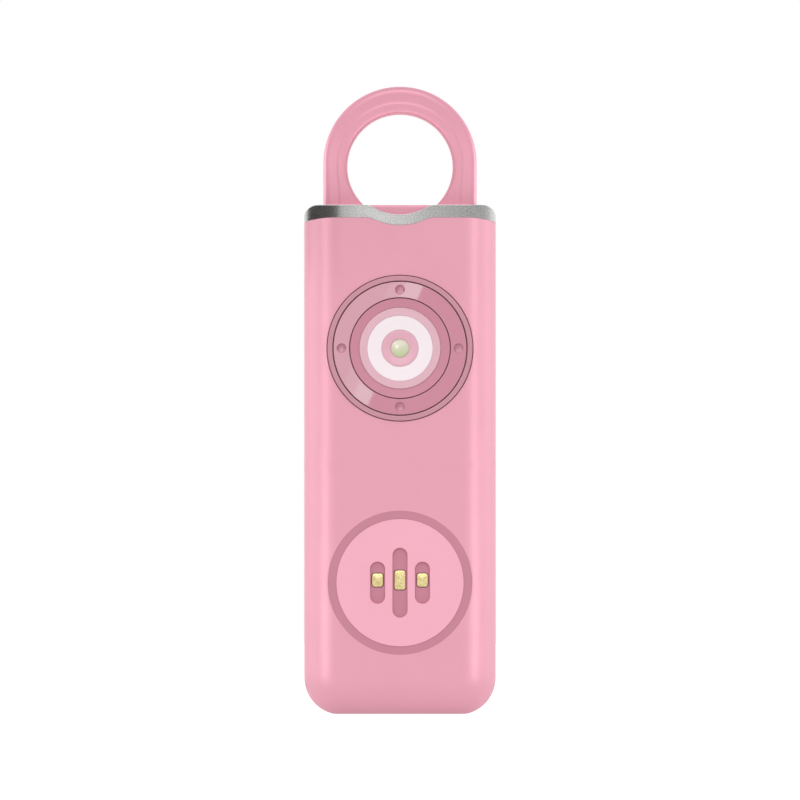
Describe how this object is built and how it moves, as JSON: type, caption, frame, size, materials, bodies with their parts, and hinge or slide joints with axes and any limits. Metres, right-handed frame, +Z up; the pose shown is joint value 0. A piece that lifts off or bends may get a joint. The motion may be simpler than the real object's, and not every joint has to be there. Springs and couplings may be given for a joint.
{
  "type": "personal safety alarm",
  "caption": "Slim rounded pocket alarm in pink plastic with a metal collar, a pull-out ring on top that sets it off, a round push-button lamp and a round charging pad on the front.",
  "frame": {"origin": "centre of the flat base", "axes": "+Z up from the base to the pull ring, +Y to the back, +X to the right of someone who looks at the front"},
  "size_m": [0.03, 0.0182, 0.0982],
  "materials": {
    "casing_pink": "satin moulded, faint grain",
    "ring_pink": "satin moulded",
    "inner_pink": "satin moulded",
    "collar_metal": "bead-blasted satin silver",
    "bezel_pink": "semi-gloss",
    "gloss_pink": "polished",
    "button_pink": "semi-gloss",
    "pale_pink": "semi-gloss, slightly milky",
    "reflector_white": "polished white",
    "hub_pink": "semi-gloss",
    "pad_pink": "satin moulded",
    "lamp_epoxy": "clear epoxy over a yellowish chip",
    "contact_gold": "gold plated, matt",
    "steel": "bright",
    "magnet_nickel": "nickel plated",
    "spring_brass": "bright",
    "copper_wire": "enamelled copper",
    "ferrite": "matt",
    "chip_ceramic": "matt",
    "board_green": "solder mask",
    "black_plastic": "moulded",
    "cream_plastic": "moulded",
    "battery_foil": "laminated foil",
    "foam_tape": "foam",
    "lead_red": "smooth",
    "lead_black": "smooth"
  },
  "bodies": {
    "casing": {"front_shell": "casing_pink", "rear_shell": "casing_pink", "collar_band": "collar_metal", "plug_well": "inner_pink", "pin_socket": "black_plastic", "socket_contacts": "spring_brass", "bezel_ring": "bezel_pink", "retainer_ring": "gloss_pink", "lamp": "lamp_epoxy", "lamp_legs": "steel", "button_switches": "black_plastic", "pad_base": "inner_pink", "pad_cover": "pad_pink", "contact_left": "contact_gold", "contact_centre": "contact_gold", "contact_right": "contact_gold", "dock_magnets": "magnet_nickel", "main_board": "board_green", "control_chip": "black_plastic", "chip_parts": "chip_ceramic", "coil_core": "ferrite", "coil_winding": "copper_wire", "battery": "battery_foil", "battery_guard": "board_green", "battery_tape": "foam_tape", "battery_lead_red": "lead_red", "battery_lead_black": "lead_black", "siren_plate": "spring_brass", "siren_ceramic": "chip_ceramic", "siren_lead_red": "lead_red", "siren_lead_black": "lead_black", "case_screws": "steel"},
    "ring": {"pull_ring": "ring_pink", "trigger_pin": "steel"},
    "button": {"light_button": "button_pink", "button_rim": "pale_pink", "reflector_ring": "reflector_white", "button_hub": "hub_pink", "switch_plungers": "cream_plastic"}
  },
  "joints": [
    {"name": "ring_pull", "type": "slide", "parent": "casing", "child": "ring", "axis": [0, 0, 1], "range_m": [0, 0.02]},
    {"name": "button_press", "type": "slide", "parent": "casing", "child": "button", "axis": [0, 1, 0], "range_m": [0, 0.0005], "stiffness_N_per_m": 1500, "springref_m": -0.0005}
  ]
}
